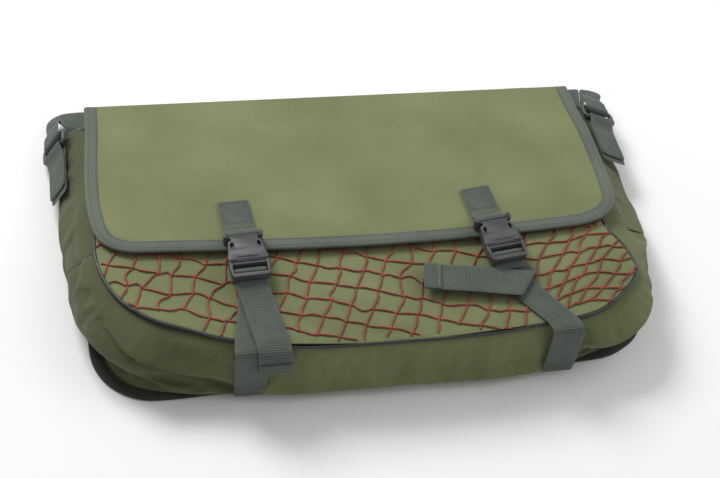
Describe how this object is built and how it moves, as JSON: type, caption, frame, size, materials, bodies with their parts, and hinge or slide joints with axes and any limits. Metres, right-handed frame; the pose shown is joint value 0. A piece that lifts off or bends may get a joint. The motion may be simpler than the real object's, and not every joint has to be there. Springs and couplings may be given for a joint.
{
  "type": "net-front shoulder bag",
  "caption": "Olive shoulder bag lying on its back, with a bound flap, side-release buckles, a net front pocket, gusseted sides and a webbing strap.",
  "frame": {"origin": "on the back panel's outer face, midway between its two side edges and 161 mm up from its bottom edge; the bag lies on this face", "axes": "+X across the bag towards the wearer's left, +Y from the bag's bottom to its mouth, +Z out of the front panel"},
  "size_m": [0.5726, 0.3643, 0.0827],
  "materials": {
    "olive_cloth": "matte coated polyester, fine plain weave",
    "dark_olive_cloth": "matte coated polyester, fine plain weave",
    "lining_cloth": "matte coated lining",
    "binding_tape": "fine grosgrain binding tape with two stitch rows",
    "webbing": "ribbed polypropylene webbing",
    "twine": "twisted twine",
    "black_plastic": "fine matte moulded acetal",
    "piping": "glossy coated piping"
  },
  "bodies": {
    "bag": {"back_panel": "dark_olive_cloth", "back_seam_binding": "binding_tape", "bottom_gusset": "dark_olive_cloth", "left_side_gusset": "dark_olive_cloth", "right_side_gusset": "dark_olive_cloth", "left_mouth_binding": "binding_tape", "right_mouth_binding": "binding_tape", "front_panel": "olive_cloth", "front_mouth_hem": "binding_tape", "front_piping": "piping", "pocket_net": "twine", "net_top_cord": "twine", "flap_root": "olive_cloth", "left_closure_strap": "webbing", "right_closure_strap": "webbing", "left_strap_tail": "webbing", "right_strap_tail": "webbing", "left_side_tab": "webbing", "right_side_tab": "webbing", "shoulder_strap": "webbing"},
    "flap": {"flap_outer": "olive_cloth", "flap_lining": "lining_cloth", "flap_binding": "binding_tape", "left_flap_tab": "webbing", "right_flap_tab": "webbing", "left_buckle_socket": "black_plastic", "right_buckle_socket": "black_plastic"},
    "left_plug": {"left_buckle_plug": "black_plastic"},
    "left_prong_a": {"left_buckle_prong_a": "black_plastic"},
    "left_prong_b": {"left_buckle_prong_b": "black_plastic"},
    "right_plug": {"right_buckle_plug": "black_plastic"},
    "right_prong_a": {"right_buckle_prong_a": "black_plastic"},
    "right_prong_b": {"right_buckle_prong_b": "black_plastic"},
    "left_ring": {"left_side_ring": "black_plastic"},
    "right_ring": {"right_side_ring": "black_plastic"},
    "slider": {"strap_slider": "black_plastic"}
  },
  "joints": [
    {"name": "flap_hinge", "type": "hinge", "parent": "bag", "child": "flap", "pos_m": [0, 0.158, 0.043], "axis": [-1, 0, 0], "range_deg": [0, 180]},
    {"name": "left_buckle_release", "type": "slide", "parent": "bag", "child": "left_plug", "axis": [0.0611, -0.9981, 0], "range_m": [0, 0.03], "deforming": ["left_closure_strap", "left_strap_tail", "left_buckle_prong_a", "left_buckle_prong_b"]},
    {"name": "right_buckle_release", "type": "slide", "parent": "bag", "child": "right_plug", "axis": [0.1392, -0.9903, 0], "range_m": [0, 0.03], "deforming": ["right_closure_strap", "right_strap_tail", "right_buckle_prong_a", "right_buckle_prong_b"]},
    {"name": "left_prong_a_squeeze", "type": "hinge", "parent": "left_plug", "child": "left_prong_a", "pos_m": [-0.10097, -0.07359, 0.07745], "axis": [0, 0, 1], "range_deg": [0, 8], "stiffness_Nm_per_rad": 0.05},
    {"name": "left_prong_b_squeeze", "type": "hinge", "parent": "left_plug", "child": "left_prong_b", "pos_m": [-0.12233, -0.07489, 0.07745], "axis": [0, 0, 1], "range_deg": [-8, 0], "stiffness_Nm_per_rad": 0.05},
    {"name": "right_prong_a_squeeze", "type": "hinge", "parent": "right_plug", "child": "right_prong_a", "pos_m": [0.12685, -0.0717, 0.07745], "axis": [0, 0, 1], "range_deg": [0, 8], "stiffness_Nm_per_rad": 0.05},
    {"name": "right_prong_b_squeeze", "type": "hinge", "parent": "right_plug", "child": "right_prong_b", "pos_m": [0.10566, -0.07468, 0.07745], "axis": [0, 0, 1], "range_deg": [-8, 0], "stiffness_Nm_per_rad": 0.05},
    {"name": "left_ring_swing", "type": "hinge", "parent": "bag", "child": "left_ring", "pos_m": [-0.27272, 0.1181, 0.02441], "axis": [0.5197, 0.0597, 0.8523], "range_deg": [0, 90], "deforming": ["shoulder_strap"]},
    {"name": "right_ring_swing", "type": "hinge", "parent": "bag", "child": "right_ring", "pos_m": [0.2699, 0.11828, 0.03235], "axis": [0.9075, -0.0383, -0.4184], "range_deg": [0, 90], "deforming": ["shoulder_strap"]},
    {"name": "slider_travel", "type": "slide", "parent": "bag", "child": "slider", "axis": [1, 0, 0], "range_m": [-0.03, 0.03]}
  ],
  "couplings": [
    {"joint": "left_prong_b_squeeze", "follows": "left_prong_a_squeeze", "ratio": -1},
    {"joint": "right_prong_b_squeeze", "follows": "right_prong_a_squeeze", "ratio": -1}
  ]
}
